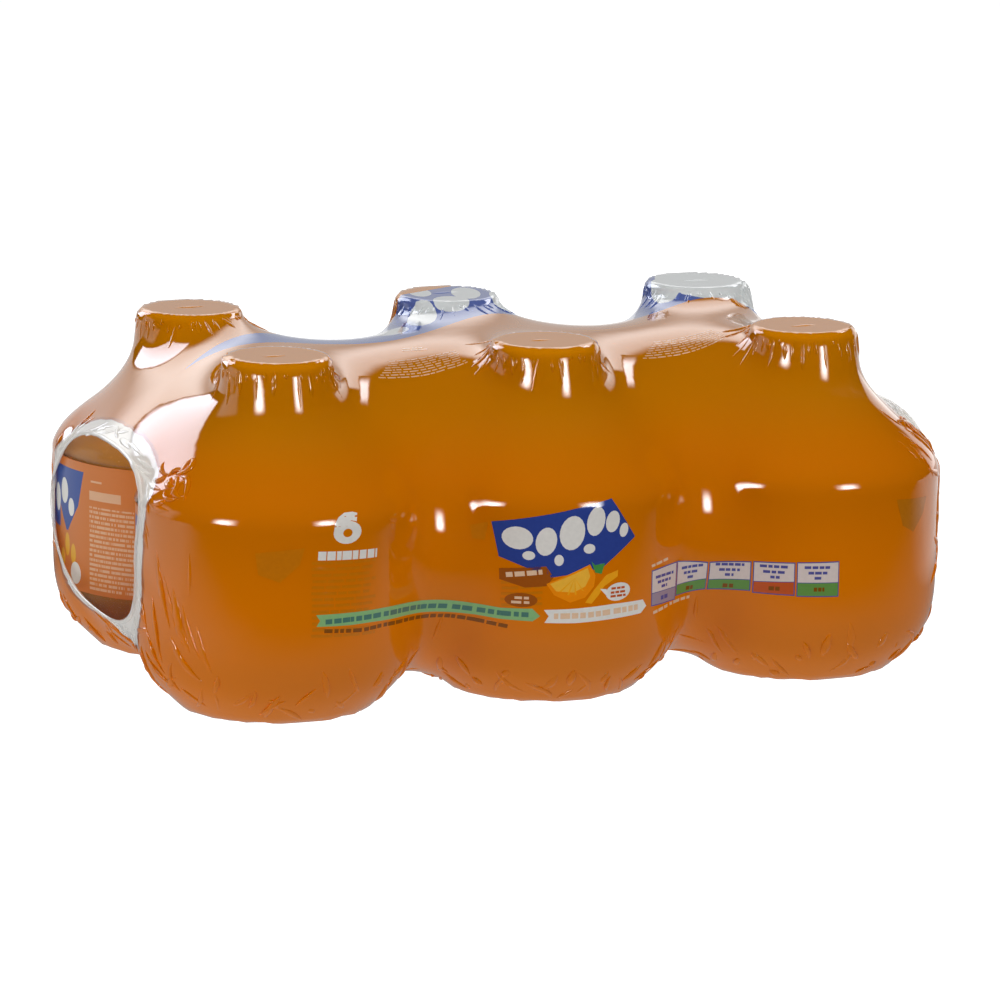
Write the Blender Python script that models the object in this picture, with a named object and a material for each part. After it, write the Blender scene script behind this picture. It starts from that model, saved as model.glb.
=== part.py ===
"""A shrink wrapped pack of six small drink bottles, standing in two rows of three.

Metres, +Z up, the long side along X and the front towards -Y. The origin is in the middle of the
pack on the surface that it stands on. Each bottle is a PET shell with its drink, its label and its
screw cap. The film is one sleeve drawn tight over all six, open at a round hole at each end.
"""

import math

import bmesh
import bpy
from mathutils import Vector

# The pack
PITCH = 0.075            # from one bottle's axis to the next, along X and along Y
COLUMNS = (("left", -1.0), ("middle", 0.0), ("right", 1.0))
ROWS = (("front", -0.5), ("back", 0.5))
SIDES = 20               # flat sides of each turned piece
GAP = 0.0003             # between pieces that touch in the real pack

# The bottle, heights from its own foot
BODY_RADIUS = 0.0372
FOOT_RADIUS = 0.0212
HEEL_RADIUS = 0.0365     # just under the label panel
PUSH_UP = 0.0030         # the hollow under the bottle
WALL = 0.0007
PANEL_DEPTH = 0.0010     # how far the label panel is set in
PANEL_BOTTOM = 0.0168
PANEL_TOP = 0.0532
NECK_RADIUS = 0.0150
NECK_HEIGHT = 0.0748
RING_RADIUS = 0.0163     # the support ring under the cap
FINISH_RADIUS = 0.0125   # the neck inside the cap
LIP_HEIGHT = 0.0892

# The drink, the label and the cap
FILL_HEIGHT = 0.0690
LABEL_THICKNESS = 0.0004
CAP_RADIUS = 0.0140
CAP_BOTTOM = 0.0786
CAP_TOP = 0.0912
CAP_WALL = 0.0011
CAP_CHAMFER = 0.0015

# The film
FILM_THICKNESS = 0.0004
FILM_CLEARANCE = 0.0008  # from the film's inner side to the bottles
FILM_OFFSET = FILM_CLEARANCE + FILM_THICKNESS
CAP_SLACK = 0.0019       # the film bridges the cap's edge this much further out
FOOT_SLACK = 0.0010      # and the foot's edge this much
BODY_SLACK = 0.0003      # and the body this much
COLLAR = [(0.0196, 0.0712), (0.0174, 0.0790), (0.0159, 0.0850)]  # it leans from the shoulder to the cap
BASE_HEIGHT = FILM_OFFSET  # the bottles' feet stand this far up, on the film
HOLE_X = 0.1133          # how far out the edge of each end hole lies
HOLE_CENTRE = (0.003, 0.0420)   # y and z of each hole's middle
HOLE_HALF_WIDTH = 0.039
HOLE_RISE = 0.024        # from the middle of the hole to its top
HOLE_DROP = 0.021        # from the middle of the hole to its bottom
HOLE_LEAN = 0.010        # how far the hole's top leans to the front
HOLE_TUCK = 0.0025       # how far the hole's top is drawn in under the shoulders
SLEEVE_HALF_DEPTH = 0.078
SLEEVE_HALF_HEIGHT = 0.050
SLEEVE_CENTRE = 0.047
END_SHARE = 0.14         # share of the film's rings that make each end
RINGS = 76               # rings of the film before it is drawn tight
RING_POINTS = 54
FILM_TRIANGLES = 2000    # on one side of the finished film


def turned_points():
    """The outer and inner outlines of a bottle, from the middle of its foot up, as radius and height."""
    panel = BODY_RADIUS - PANEL_DEPTH
    outer = [
        (0.0, PUSH_UP),
        (FOOT_RADIUS, 0.0),
        (0.0286, 0.0045),
        (0.0343, 0.0105),
        (HEEL_RADIUS, PANEL_BOTTOM - 0.0006),
        (panel, PANEL_BOTTOM),
        (panel, PANEL_TOP),
        (BODY_RADIUS, PANEL_TOP + 0.0006),
        (0.0352, 0.0577),
        (0.0300, 0.0632),
        (0.0225, 0.0686),
        (NECK_RADIUS, NECK_HEIGHT),
        (RING_RADIUS, NECK_HEIGHT + 0.0020),
        (FINISH_RADIUS, NECK_HEIGHT + 0.0036),
        (FINISH_RADIUS, LIP_HEIGHT),
    ]
    inner = [
        (FINISH_RADIUS - 2 * WALL, LIP_HEIGHT),
        (FINISH_RADIUS - 2 * WALL, NECK_HEIGHT),
        (0.0216, 0.0678),
        (0.0291, 0.0624),
        (0.0341, 0.0571),
        (panel - WALL, PANEL_TOP),
        (panel - WALL, PANEL_BOTTOM + WALL),
        (0.0331, 0.0108),
        (0.0276, 0.0052),
        (0.0204, WALL + 0.0005),
        (0.0, PUSH_UP + WALL),
    ]
    return outer, inner


def drink_points():
    """The drink's outline: the bottle's inner side, one gap smaller, up to the fill level."""
    panel = BODY_RADIUS - PANEL_DEPTH - WALL - GAP
    return [
        (0.0, PUSH_UP + WALL + GAP),
        (0.0202, WALL + 0.0005 + 2 * GAP),
        (0.0273, 0.0057),
        (0.0327, 0.0112),
        (panel, PANEL_BOTTOM + WALL + GAP),
        (panel, PANEL_TOP - GAP),
        (0.0336, 0.0568),
        (0.0287, 0.0620),
        (0.0194, FILL_HEIGHT - GAP),
        (0.0, FILL_HEIGHT - GAP),
    ]


def label_points():
    """A thin sleeve round the label panel, as a closed loop."""
    inner = BODY_RADIUS - PANEL_DEPTH + GAP
    outer = inner + LABEL_THICKNESS
    low, high = PANEL_BOTTOM + GAP, PANEL_TOP - GAP
    return [(inner, low), (outer, low), (outer, high), (inner, high)]


def cap_points():
    """The screw cap's outline: its wall, its top and its hollow."""
    hollow = CAP_RADIUS - CAP_WALL
    return [
        (0.0, CAP_TOP - CAP_WALL),
        (hollow, CAP_TOP - CAP_WALL),
        (hollow, CAP_BOTTOM),
        (CAP_RADIUS, CAP_BOTTOM),
        (CAP_RADIUS, CAP_TOP - CAP_CHAMFER),
        (CAP_RADIUS - CAP_CHAMFER, CAP_TOP),
        (0.0, CAP_TOP),
    ]


def turned_mesh(name, outline, closed=False, sides=SIDES):
    """Turns an outline round Z. A closed outline ends where it starts, the others end on the axis."""
    shape = bmesh.new()
    rings = []
    for radius, height in outline:
        if radius == 0.0:
            rings.append([shape.verts.new((0.0, 0.0, height))])
            continue
        turns = [2 * math.pi * step / sides for step in range(sides)]
        rings.append([shape.verts.new((radius * math.cos(t), radius * math.sin(t), height)) for t in turns])
    if closed:
        rings.append(rings[0])
    for low, high in zip(rings, rings[1:]):
        for step in range(sides):
            after = (step + 1) % sides
            if len(low) == 1:
                shape.faces.new((low[0], high[after], high[step]))
            elif len(high) == 1:
                shape.faces.new((low[step], low[after], high[0]))
            else:
                shape.faces.new((low[step], low[after], high[after], high[step]))
    bmesh.ops.recalc_face_normals(shape, faces=shape.faces)
    mesh = bpy.data.meshes.new(name)
    shape.to_mesh(mesh)
    shape.free()
    mesh.shade_smooth()
    mesh.set_sharp_from_angle(angle=math.radians(35))
    return mesh


def material(name, colour, roughness, alpha=1.0):
    """A Principled material. The colour is linear red, green and blue."""
    made = bpy.data.materials.new(name)
    made.use_nodes = True
    shader = made.node_tree.nodes["Principled BSDF"]
    shader.inputs["Base Color"].default_value = (*colour, 1.0)
    shader.inputs["Roughness"].default_value = roughness
    shader.inputs["Alpha"].default_value = alpha
    made.diffuse_color = (*colour, alpha)
    return made


def place(name, mesh, finish, location=(0.0, 0.0, 0.0)):
    """Puts a mesh in the scene as a named object with its material."""
    if finish and not mesh.materials:
        mesh.materials.append(finish)
    made = bpy.data.objects.new(name, mesh)
    made.location = location
    bpy.context.scene.collection.objects.link(made)
    return made


def stations():
    """Each bottle's name and the place of its foot."""
    for row, back in ROWS:
        for column, along in COLUMNS:
            yield f"{row}_{column}", Vector((along * PITCH, back * PITCH, BASE_HEIGHT))


def place_bottles():
    """Six bottles, each with its drink, label and cap. Copies of a piece share one mesh."""
    outer, inner = turned_points()
    pieces = (
        ("bottle", turned_mesh("bottle", outer + inner), material("clear_pet", (0.80, 0.82, 0.84), 0.08, 0.35)),
        ("drink", turned_mesh("drink", drink_points()), material("orange_drink", (0.85, 0.28, 0.01), 0.10)),
        ("label", turned_mesh("label", label_points(), closed=True), material("printed_label", (0.62, 0.17, 0.02), 0.35)),
        ("cap", turned_mesh("cap", cap_points()), material("moulded_cap", (0.75, 0.22, 0.01), 0.40)),
    )
    for where, foot in stations():
        for kind, mesh, finish in pieces:
            place(f"{kind}_{where}", mesh, finish, foot)


def former_outline():
    """The outside of a capped bottle, that the film is drawn over."""
    outer, _ = turned_points()
    panel = BODY_RADIUS - PANEL_DEPTH
    body = [(radius + BODY_SLACK, height) for radius, height in outer
            if radius != panel and height < NECK_HEIGHT]
    body[:2] = [(0.0, 0.0), (FOOT_RADIUS + FOOT_SLACK, 0.0)]
    radius, top = CAP_RADIUS + CAP_SLACK, CAP_TOP + CAP_SLACK / 3
    cap = [(radius, COLLAR[-1][1]), (radius, top - CAP_CHAMFER), (radius - CAP_CHAMFER, top), (0.0, top)]
    return body + COLLAR[:-1] + cap


def hole_point(turn):
    """A point of an end hole's edge, at an angle from its middle: how far out it lies, y and z."""
    across, up = math.cos(turn), math.sin(turn)
    y = HOLE_CENTRE[0] + HOLE_HALF_WIDTH * math.copysign(abs(across) ** 0.7, across)
    rise = math.copysign(abs(up) ** 0.75, up)
    z = HOLE_CENTRE[1] + (HOLE_RISE if up > 0 else HOLE_DROP) * rise
    return HOLE_X - HOLE_TUCK * max(rise, 0.0) ** 2, y - HOLE_LEAN * max(rise, 0.0), z


def sleeve_point(turn):
    """A point of the loose sleeve round the pack: a rounded rectangle."""
    power = 4
    across, up = math.cos(turn), math.sin(turn)
    reach = (abs(across / SLEEVE_HALF_DEPTH) ** power + abs(up / SLEEVE_HALF_HEIGHT) ** power) ** (-1 / power)
    return reach * across, SLEEVE_CENTRE + reach * up


def loose_point(along, turn):
    """A point of the film before it shrinks. along runs from 0 at the left hole to 1 at the right one."""
    end = min(along, 1 - along) / END_SHARE
    side = -1 if along < 0.5 else 1
    y, z = sleeve_point(turn)
    straight = HOLE_X - 0.014
    if end >= 1:
        return straight * (2 * (along - END_SHARE) / (1 - 2 * END_SHARE) - 1), y, z
    bend = end * math.pi / 2
    hole_x, hole_y, hole_z = hole_point(turn)
    open_share = 1 - math.sin(bend)
    out = HOLE_X + (hole_x - HOLE_X) * open_share
    x = out + 0.003 * math.sin(math.pi * end) - 0.014 * (1 - math.cos(bend))
    return side * x, y + (hole_y - y) * open_share, z + (hole_z - z) * open_share


def loose_film():
    """The film as an open tube of quads, with a group of the points that are free to move."""
    points = []
    for ring in range(RINGS + 1):
        for step in range(RING_POINTS):
            points.append(loose_point(ring / RINGS, 2 * math.pi * step / RING_POINTS))
    faces = []
    for ring in range(RINGS):
        for step in range(RING_POINTS):
            here, after = ring * RING_POINTS + step, ring * RING_POINTS + (step + 1) % RING_POINTS
            faces.append((here, after, after + RING_POINTS, here + RING_POINTS))
    mesh = bpy.data.meshes.new("film")
    mesh.from_pydata(points, [], faces)
    film = bpy.data.objects.new("film", mesh)
    bpy.context.scene.collection.objects.link(film)
    film.vertex_groups.new(name="free").add(range(RING_POINTS, RINGS * RING_POINTS), 1.0, "REPLACE")
    return film


def apply(film, kind, **settings):
    """Adds one modifier and applies it."""
    modifier = film.modifiers.new(kind.title(), kind)
    for name, value in settings.items():
        setattr(modifier, name, value)
    bpy.context.view_layer.objects.active = film
    bpy.ops.object.modifier_apply(modifier=modifier.name)


def draw_tight(film, former, rounds, easing):
    """Shrinks the film: each round evens its tension, then lifts it back off the bottles."""
    for _ in range(rounds):
        apply(film, "SMOOTH", factor=0.5, iterations=easing, vertex_group="free")
        apply(film, "SHRINKWRAP", target=former, wrap_method="NEAREST_SURFACEPOINT",
              wrap_mode="OUTSIDE", offset=FILM_OFFSET, vertex_group="free")


def flatten_foot(mesh, reach=0.0004):
    """Levels the underside, where the film is pressed flat by the bottles."""
    for point in mesh.vertices:
        if point.co.z < reach:
            point.co.z = 0.0


def place_film():
    """The film, drawn tight over a former of the six bottles and given its thickness."""
    outline = former_outline()
    bottles = [place(f"former_{where}", turned_mesh("former", outline, sides=64), None, foot)
               for where, foot in stations()]
    for former in bottles:
        former.select_set(True)
    bpy.context.view_layer.objects.active = bottles[0]
    bpy.ops.object.join()
    former = bpy.context.view_layer.objects.active
    film = loose_film()
    draw_tight(film, former, 60, 6)
    apply(film, "SUBSURF", subdivision_type="CATMULL_CLARK", levels=1, render_levels=1)
    draw_tight(film, former, 20, 4)
    sheet = 2 * len(film.data.polygons)
    apply(film, "DECIMATE", ratio=FILM_TRIANGLES / sheet, use_collapse_triangulate=True)
    flatten_foot(film.data)
    apply(film, "SOLIDIFY", thickness=FILM_THICKNESS, offset=-1.0)
    film.data.materials.append(material("printed_film", (0.78, 0.22, 0.0), 0.12))
    film.data.shade_smooth()
    film.data.set_sharp_from_angle(angle=math.radians(50))
    old = former.data
    bpy.data.objects.remove(former)
    bpy.data.meshes.remove(old)


def main():
    for old in list(bpy.data.objects):
        bpy.data.objects.remove(old)
    place_film()
    place_bottles()


main()
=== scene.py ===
# Six small drink bottles in one printed shrink film: the looks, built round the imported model.
# Metres, +Z up, the pack's long side along X and its printed front towards -Y.
import math
import random

import bpy
from mathutils import Matrix, Quaternion, Vector, noise
from mathutils.bvhtree import BVHTree
from mathutils.kdtree import KDTree


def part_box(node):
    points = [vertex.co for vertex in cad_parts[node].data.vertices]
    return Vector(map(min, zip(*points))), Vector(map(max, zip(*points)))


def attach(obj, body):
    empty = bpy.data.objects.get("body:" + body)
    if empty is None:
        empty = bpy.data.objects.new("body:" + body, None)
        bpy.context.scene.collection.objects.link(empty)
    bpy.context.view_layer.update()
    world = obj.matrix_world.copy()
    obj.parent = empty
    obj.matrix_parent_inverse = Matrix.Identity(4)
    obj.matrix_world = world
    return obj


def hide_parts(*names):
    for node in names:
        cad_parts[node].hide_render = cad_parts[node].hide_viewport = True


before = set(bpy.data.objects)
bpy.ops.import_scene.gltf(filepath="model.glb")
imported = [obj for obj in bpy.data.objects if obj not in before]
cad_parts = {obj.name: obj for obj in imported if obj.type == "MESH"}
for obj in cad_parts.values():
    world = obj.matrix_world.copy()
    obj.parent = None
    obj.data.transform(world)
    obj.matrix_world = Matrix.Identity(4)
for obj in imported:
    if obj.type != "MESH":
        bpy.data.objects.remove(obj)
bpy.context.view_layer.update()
mm = 0.001
print("stage 1: frame loaded")


# Small helpers that the rest uses

# sRGB hex to the linear colour that shaders take
def linear(hexColour):
    parts = [int(hexColour[k:k + 2], 16) / 255 for k in (1, 3, 5)]
    return (*[c / 12.92 if c <= 0.04045 else ((c + 0.055) / 1.055) ** 2.4 for c in parts], 1.0)


# inputs go to the node's sockets in order, or by name or number; one of its outputs is handed back
def addNode(tree, kind, inputs=(), out=0, **settings):
    node = tree.nodes.new("ShaderNode" + kind)
    for name, value in settings.items():
        setattr(node, name, value)
    for key, value in dict(inputs if isinstance(inputs, dict) else enumerate(inputs)).items():
        if isinstance(value, bpy.types.NodeSocket):
            tree.links.new(value, node.inputs[key])
        else:
            node.inputs[key].default_value = value
    return node.outputs[out]


def newMaterial(name, roughness, ior=1.5):
    material = bpy.data.materials.new(name)
    material.use_nodes = True
    tree = material.node_tree
    shader = tree.nodes["Principled BSDF"]
    shader.inputs["Roughness"].default_value = roughness
    shader.inputs["IOR"].default_value = ior
    return material, tree, shader


# Colours laid one over another: each coat is its share, from 0 to 1, and its colour
def coated(tree, ground, *coats):
    for share, colour in coats:
        inputs = {0: share, 6: ground, 7: linear(colour) if isinstance(colour, str) else colour}
        ground = addNode(tree, "Mix", inputs, 2, data_type="RGBA")
    return ground


def deselect():
    if bpy.context.mode != "OBJECT":
        bpy.ops.object.mode_set(mode="OBJECT")
    bpy.ops.object.select_all(action="DESELECT")


def pick(*pieces):
    deselect()
    for piece in pieces:
        piece.select_set(True)
    bpy.context.view_layer.objects.active = pieces[-1]


# Adds a modifier and applies it at once
def applyModifier(piece, kind, **settings):
    modifier = piece.modifiers.new(kind.title(), kind)
    for name, value in settings.items():
        setattr(modifier, name, value)
    bpy.context.view_layer.objects.active = piece
    bpy.ops.object.modifier_apply(modifier=modifier.name)


def smoothShade(piece, angle=30):
    pick(piece)
    bpy.ops.object.shade_smooth_by_angle(angle=math.radians(angle))


def turnOutwards(piece):
    pick(piece)
    bpy.ops.object.mode_set(mode="EDIT")
    bpy.ops.mesh.select_all(action="SELECT")
    bpy.ops.mesh.normals_make_consistent(inside=False)
    bpy.ops.object.mode_set(mode="OBJECT")


# An object from listed points and faces, for the soft film's folds and the print that lies on it
def fromPoints(name, points, faces):
    data = bpy.data.meshes.new(name)
    data.from_pydata(points, [], faces)
    made = bpy.data.objects.new(name, data)
    bpy.context.scene.collection.objects.link(made)
    return made


# A smooth outline through a few points, as radius and height
def curveThrough(points, steps=4):
    made = []
    last = len(points) - 1
    for i in range(last):
        before, here = points[max(i - 1, 0)], points[i]
        after, beyond = points[i + 1], points[min(i + 2, last)]
        for step in range(steps):
            t = step / steps
            made.append(tuple(
                b + 0.5 * t * (c - a + t * (2 * a - 5 * b + 4 * c - d + t * (3 * b - a - 3 * c + d)))
                for a, b, c, d in zip(before, here, after, beyond)))
    made.append(points[-1])
    return made


# Turns an outline into a closed piece: a disc is extruded and resized from ring to ring
def turnPiece(name, outline, sides=64):
    deselect()
    radius, height = outline[0]
    bpy.ops.mesh.primitive_circle_add(vertices=sides, radius=radius * mm, fill_type="NGON",
                                      location=(0, 0, height * mm))
    piece = bpy.context.object
    piece.name = name
    bpy.ops.object.transform_apply(location=True, rotation=False, scale=False)
    bpy.ops.object.mode_set(mode="EDIT")
    for nextRadius, nextHeight in outline[1:]:
        bpy.ops.mesh.extrude_region_move(
            TRANSFORM_OT_translate={"value": (0, 0, (nextHeight - height) * mm)})
        bpy.ops.transform.resize(value=(nextRadius / radius, nextRadius / radius, 1))
        radius, height = nextRadius, nextHeight
    bpy.ops.object.mode_set(mode="OBJECT")
    turnOutwards(piece)
    smoothShade(piece)
    return piece


# A copy of a piece with its own mesh, standing at a place, its object at the origin
def standAt(piece, name, place, material):
    pick(piece)
    bpy.ops.object.duplicate()
    copy = bpy.context.object
    copy.name = name
    copy.location = place
    bpy.ops.object.transform_apply(location=True, rotation=False, scale=False)
    copy.data.materials.clear()
    copy.data.materials.append(material)
    return copy


# The piece rides with the pack and stands for the named nodes. slot is not used.
def finished(piece, slot, *nodes):
    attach(piece, "root")
    if nodes:
        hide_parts(*nodes)


# Each bottle's name and the middle of its foot, read from the frame
def stationPlaces():
    places = {}
    for row in ("front", "back"):
        for column in ("left", "middle", "right"):
            low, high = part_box(f"bottle_{row}_{column}")
            places[f"{row}_{column}"] = Vector(((low.x + high.x) / 2, (low.y + high.y) / 2, low.z))
    return places


places = stationPlaces()


# The camera, from the photograph's vanishing lines

camera = {
    "azimuth": 20.93,     # degrees round to the pack's left
    "elevation": 12.16,
    "roll": 0.69,
    "place": Vector((-0.5195, -1.3640, 0.3562)),
    "lens": 196.3,        # on a 36 mm wide sensor
}


# The direction from the pack. Azimuth 0 is straight away from the camera.
def towards(azimuth, elevation):
    around, above = math.radians(camera["azimuth"] + azimuth), math.radians(elevation)
    return Vector((math.sin(around) * math.cos(above), math.cos(around) * math.cos(above), math.sin(above)))


def makeCamera():
    back = towards(180, camera["elevation"])
    side = (-back).cross(Vector((0, 0, 1))).normalized()
    up = side.cross(-back)
    tilt = math.radians(camera["roll"])
    across = side * math.cos(tilt) + up * math.sin(tilt)
    upright = up * math.cos(tilt) - side * math.sin(tilt)
    lens = bpy.data.cameras.new("camera")
    lens.sensor_width = 36
    lens.lens = camera["lens"]
    lens.clip_start, lens.clip_end = 0.05, 60
    made = bpy.data.objects.new("camera", lens)
    bpy.context.scene.collection.objects.link(made)
    turned = Matrix((across, upright, back)).transposed().to_4x4()
    made.matrix_world = Matrix.Translation(camera["place"]) @ turned
    bpy.context.scene.camera = made


makeCamera()


# The bottles: outlines from the foot up, radius and height in millimetres

bottle = {
    "bodyRadius": 37.2,
    "panelRadius": 36.2,
    "panelBottom": 16.8,
    "panelTop": 53.2,
    "wall": 0.7,
    "neckRadius": 12.5,
    "lipHeight": 89.2,
    "fillHeight": 69.0,
}
cap = {"radius": 14.0, "bottom": 78.6, "top": 91.2, "wall": 1.1, "ribs": 60, "ribDepth": 0.25}
label = {"thickness": 0.4, "gap": 0.3}


# Outer side of the bottle, from the middle of its foot to its lip
def bodyOutline():
    radius, panel = bottle["bodyRadius"], bottle["panelRadius"]
    low, high = bottle["panelBottom"], bottle["panelTop"]
    foot = curveThrough([(0.4, 3.0), (12, 2.5), (18.5, 0.6), (21.5, 0.05), (28.4, 4.4), (33.6, 9.8),
                         (36.3, low - 0.8)])
    shoulder = curveThrough([(radius, high + 0.8), (36.0, 56.6), (33.4, 60.0), (28.0, 64.6), (21.0, 69.6),
                             (15.0, 74.8)])
    neck = bottle["neckRadius"]
    ring = [(16.3, 75.9), (16.3, 77.1), (13.2, 77.6), (neck, 78.2)]
    return foot + [(panel, low), (panel, high)] + shoulder + ring + [(neck, bottle["lipHeight"])]


# Inner side of the bottle, from its foot to its lip
def innerOutline():
    panel = bottle["panelRadius"] - bottle["wall"]
    foot = curveThrough([(0.4, 3.8), (12, 3.3), (18.0, 1.5), (21.3, 1.0), (27.8, 5.1), (32.8, 10.2),
                         (panel, 17.6)])
    shoulder = curveThrough([(panel, bottle["panelTop"]), (35.0, 56.4), (32.6, 59.5), (27.4, 64.0),
                             (20.4, 68.9), (11.1, 74.8)])
    return foot + shoulder + [(11.1, bottle["lipHeight"])]


# The drink fills the bottle and reaches just into its wall, up to the fill level
def drinkOutline():
    level = bottle["fillHeight"]
    inner = [(radius + 0.25, height - 0.1) for radius, height in innerOutline() if height < level]
    return inner + [(19.9, level), (0.4, level)]


# A moulded cap: ribbed wall, plain top, and a ring that breaks off at its foot
def makeCap():
    radius, low, high, wall = cap["radius"], cap["bottom"], cap["top"], cap["wall"]
    outer = [(radius - 0.3, low), (radius, low + 0.3), (radius, low + 2.2), (radius - 0.5, low + 2.4),
             (radius - 0.5, low + 2.7), (radius, low + 2.9), (radius, high - 1.6), (radius - 0.4, high - 0.6),
             (radius - 1.4, high), (0.4, high)]
    inner = [(0.4, high - wall), (radius - wall, high - wall), (radius - wall, low)]
    sides = cap["ribs"] * 2
    piece = turnPiece("cap", inner + outer, sides)
    for point in piece.data.vertices:   # every other column of the wall is set in, which makes the ribs
        turn = round(math.atan2(point.co.y, point.co.x) / (2 * math.pi) * sides)
        reach = math.hypot(point.co.x, point.co.y)
        onWall = (low + 2.85) * mm < point.co.z < (high - 0.7) * mm and reach > (radius - 0.6) * mm
        if onWall and turn % 2:
            point.co.xy *= 1 - cap["ribDepth"] * mm / reach
    return piece


# The wrapped label: an open tube with a thin wall. Its map is unrolled, u round and v up.
def makeLabel():
    deselect()
    low, high = bottle["panelBottom"] + 0.3, bottle["panelTop"] - 0.3
    radius = bottle["panelRadius"] + label["gap"]
    bpy.ops.mesh.primitive_cylinder_add(vertices=96, radius=radius * mm, depth=(high - low) * mm,
                                        end_fill_type="NOTHING", location=(0, 0, (low + high) / 2 * mm))
    piece = bpy.context.object
    piece.name = "label"
    bpy.ops.object.transform_apply(location=True, rotation=False, scale=False)
    applyModifier(piece, "SOLIDIFY", thickness=label["thickness"] * mm, offset=1.0)
    unrolled = piece.data.uv_layers.active.data
    for polygon in piece.data.polygons:
        facing = math.atan2(polygon.center.y, polygon.center.x) % (2 * math.pi)
        for loop in polygon.loop_indices:
            point = piece.data.vertices[piece.data.loops[loop].vertex_index].co
            turn = math.atan2(point.y, point.x) % (2 * math.pi)
            if abs(turn - facing) > math.pi:
                turn += 2 * math.pi if turn < facing else -2 * math.pi
            unrolled[loop].uv = (turn / (2 * math.pi), (point.z / mm - low) / (high - low))
    smoothShade(piece)
    return piece


# The film: a loose sleeve that is drawn tight over a former of the six bottles

film = {
    "rings": 50,            # along the pack, before the two subdivisions
    "around": 46,
    "holeX": 113.3,         # how far out the edge of each end hole lies
    "holeMiddle": (3.0, 42.0),
    "holeHalfWidth": 39.0,
    "holeRise": 24.0,
    "holeDrop": 22.5,
    "holeLean": (10.0, 6.0),   # how far its top and its foot are moved to the front
    "holeTuck": 2.5,
    "sleeveHalfDepth": 78.0,
    "sleeveHalfHeight": 50.0,
    "sleeveMiddle": 47.0,
    "endShare": 0.14,       # the share of its length that turns in to each hole
    "endTurn": 14,
    "endBulge": 3,
    "offset": 0.45,         # from the bottles to the film
    "thickness": 0.12,
    "rounds": (60, 24, 8),
    "easing": (6, 5, 3),
    "collar": [(19.6, 71.0), (17.0, 79.5), (14.2, 90.2)],   # the film leans from the cap to the shoulder
    "collarWidth": 0.88,    # its width along the pack, as a share of its depth
    "capReach": (17.5, 86.0),
}


# The outside of a capped bottle. Its foot reaches the ground and is rounder, as the film is slack there.
def formerOutline():
    drop = places["front_left"].z / mm - film["offset"]
    foot = [(0.4, -drop), (23.5, -drop)] + curveThrough(
        [(25.2, -drop), (28.0, 2.0), (31.0, 5.0), (33.8, 8.6), (35.7, 12.8), (36.8, 18.0), (37.15, 25.0),
         (37.2, 36.0)])
    shoulder = [point for point in bodyOutline() if point[1] > bottle["panelTop"] and point[0] > 20.5]
    radius, top = cap["radius"], cap["top"]
    return foot + shoulder + film["collar"] + [(radius, top - 0.4), (radius - 0.4, top), (0.4, top)]


def makeFormer():
    one = turnPiece("former", formerOutline(), sides=96)
    for point in one.data.vertices:
        if film["collar"][0][1] - 1 < point.co.z / mm < film["collar"][-1][1] + 0.1:
            point.co.x *= film["collarWidth"]
            point.co.xy *= max(cap["radius"] * mm / math.hypot(point.co.x, point.co.y), 1)
    copies = []
    for place in places.values():
        pick(one)
        bpy.ops.object.duplicate()
        copies.append(bpy.context.object)
        copies[-1].location = place
    bpy.data.objects.remove(one)
    pick(*copies)
    bpy.ops.object.transform_apply(location=True, rotation=False, scale=False)
    bpy.ops.object.join()
    return bpy.context.object


def signedPower(value, power):
    return math.copysign(abs(value) ** power, value)


# A point of an end hole's edge: how far out it lies, y and z
def holePoint(turn):
    across, rise = signedPower(math.cos(turn), 0.7), signedPower(math.sin(turn), 0.75)
    (y, z), (leanTop, leanFoot) = film["holeMiddle"], film["holeLean"]
    y += film["holeHalfWidth"] * across - abs(rise) * (leanTop if rise > 0 else leanFoot)
    z += (film["holeRise"] if rise > 0 else film["holeDrop"]) * rise
    return film["holeX"] - film["holeTuck"] * max(rise, 0) ** 2, y, z


# A point of the film before it shrinks. along runs from 0 at the left hole to 1 at the right.
def loosePoint(along, turn):
    across, up = math.cos(turn), math.sin(turn)
    reach = (abs(across / film["sleeveHalfDepth"]) ** 4 + abs(up / film["sleeveHalfHeight"]) ** 4) ** -0.25
    y, z = reach * across, film["sleeveMiddle"] + reach * up
    turned, turnIn = film["endShare"], film["endTurn"]
    end = min(along, 1 - along) / turned
    if end >= 1:
        x = (film["holeX"] - turnIn) * (2 * (along - turned) / (1 - 2 * turned) - 1)
        return Vector((x, y, z)) * mm
    holeX, holeY, holeZ = holePoint(turn)
    bend = end * math.pi / 2
    share = 1 - math.sin(bend)
    x = film["holeX"] + (holeX - film["holeX"]) * share
    x += film["endBulge"] * math.sin(math.pi * end) - turnIn * (1 - math.cos(bend))
    return Vector((x if along > 0.5 else -x, y + (holeY - y) * share, z + (holeZ - z) * share)) * mm


# An open tube, cut into rings and shaped into the loose sleeve
def looseFilm():
    deselect()
    bpy.ops.mesh.primitive_cylinder_add(vertices=film["around"], radius=1, depth=1, end_fill_type="NOTHING")
    piece = bpy.context.object
    piece.name = "filmSkin"
    points = piece.data.vertices
    bpy.ops.object.mode_set(mode="EDIT")
    bpy.context.tool_settings.mesh_select_mode = (False, True, False)
    bpy.ops.object.mode_set(mode="OBJECT")
    for polygon in piece.data.polygons:
        polygon.select = False
    for edge in piece.data.edges:
        edge.select = abs(points[edge.vertices[0]].co.z - points[edge.vertices[1]].co.z) > 0.5
    bpy.ops.object.mode_set(mode="EDIT")
    bpy.ops.mesh.subdivide(number_cuts=film["rings"] - 1)
    bpy.ops.object.mode_set(mode="OBJECT")
    free = piece.vertex_groups.new(name="free")
    for point in piece.data.vertices:
        along = point.co.z + 0.5
        if 0.001 < along < 0.999:
            free.add([point.index], 1.0, "REPLACE")
        point.co = loosePoint(along, math.atan2(point.co.y, point.co.x))
    return piece


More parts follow.
